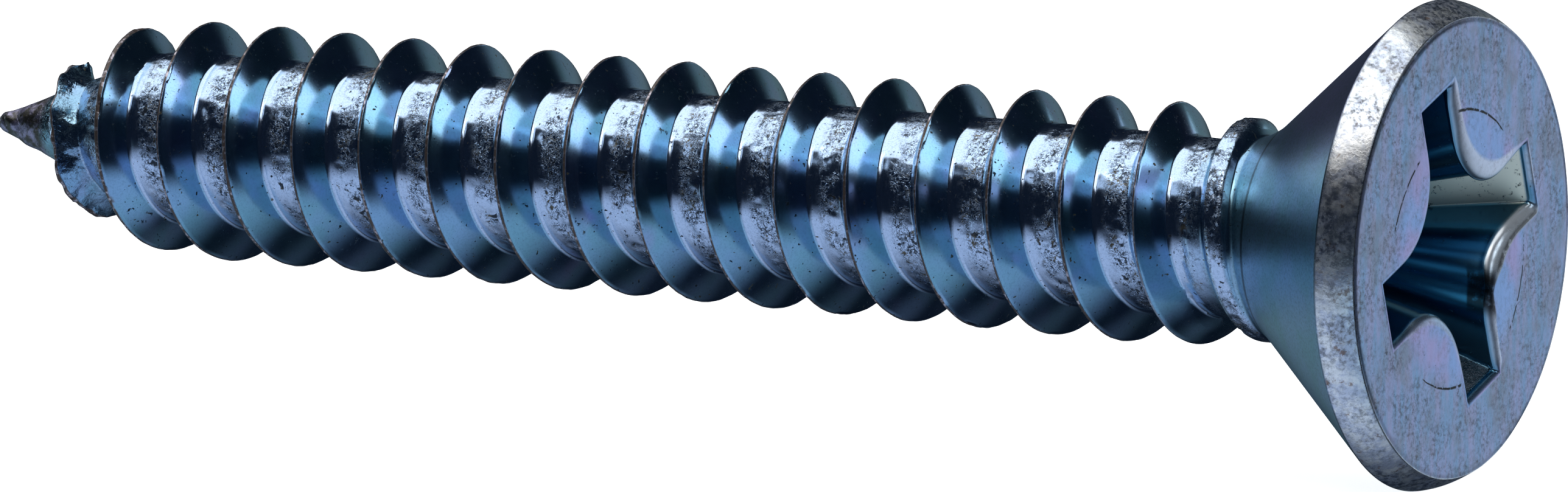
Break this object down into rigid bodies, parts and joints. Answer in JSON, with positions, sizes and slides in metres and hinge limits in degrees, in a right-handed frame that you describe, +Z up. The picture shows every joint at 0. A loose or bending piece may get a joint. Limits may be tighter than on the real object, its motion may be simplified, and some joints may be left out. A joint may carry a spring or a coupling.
{
  "type": "countersunk screw",
  "caption": "Fully threaded countersunk screw with a flat head, a cross recess and a gimlet point, driven into wood or sheet to clamp one piece to another.",
  "frame": {"origin": "where the screw's axis meets the plane of the head's flat face; this point is over the recess", "axes": "+X along the axis from the point to the head, square out of the head's face; +Z up and +Y across as the screw lies on its side, with one recess wing 19 degrees above +Y"},
  "size_m": [0.038, 0.0106, 0.0106],
  "materials": {
    "head": "blue-bright zinc plating, matt grey-mottled, worn at the rim",
    "neck": "blue-bright zinc plating, satin",
    "thread": "blue-bright zinc plating, smooth flanks and a pitted root"
  },
  "bodies": {
    "root": {"head": "head", "neck": "neck", "threaded_shank": "thread", "gimlet_point": "thread"}
  },
  "joints": []
}
